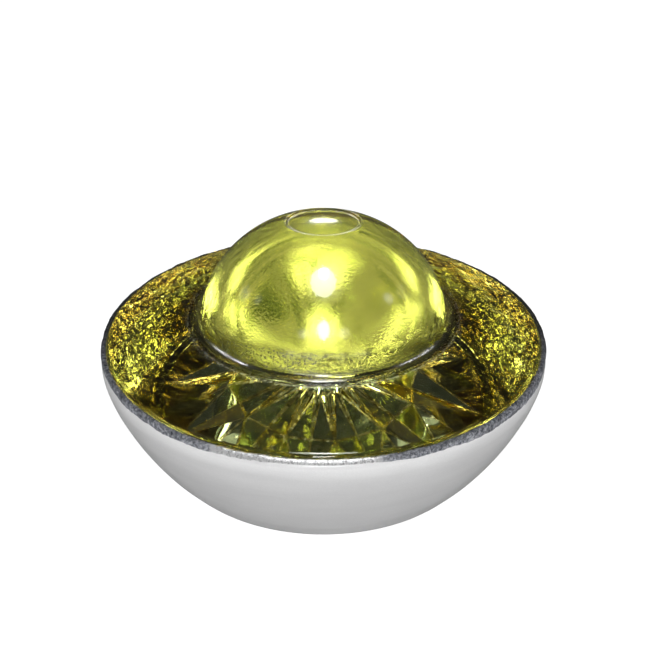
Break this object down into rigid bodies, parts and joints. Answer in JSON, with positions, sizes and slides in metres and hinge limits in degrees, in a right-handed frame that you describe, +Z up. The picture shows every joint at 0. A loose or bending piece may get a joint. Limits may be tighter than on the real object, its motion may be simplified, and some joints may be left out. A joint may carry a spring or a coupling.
{
  "type": "raised pavement marker",
  "caption": "Round tempered-glass road stud: yellow-tinted dome on a silvered, silver-painted bowl with a star-faceted underside, visible from all directions.",
  "frame": {"origin": "centre of the foot ring, on the surface the stud rests on", "axes": "+Z up through the dome; the stud is turned about Z, and the first star point lies 7 degrees from +X"},
  "size_m": [0.1, 0.1, 0.0602],
  "materials": {
    "tinted_glass": "pressed and toughened soda-lime glass with a yellow tint, glossy",
    "mirror_film": "bright silvering seen through the glass, crinkled on the flank and crisp on the star facets",
    "undercoat": "matte grey backing paint, speckled at its edge",
    "silver_paint": "smooth satin silver paint",
    "edge_seal": "rough speckled grey sealing bead"
  },
  "bodies": {
    "root": {"glass_body": "tinted_glass", "flank_mirror_film": "mirror_film", "facet_mirror_film": "mirror_film", "undercoat": "undercoat", "silver_topcoat": "silver_paint", "rim_edge_seal": "edge_seal"}
  },
  "joints": []
}
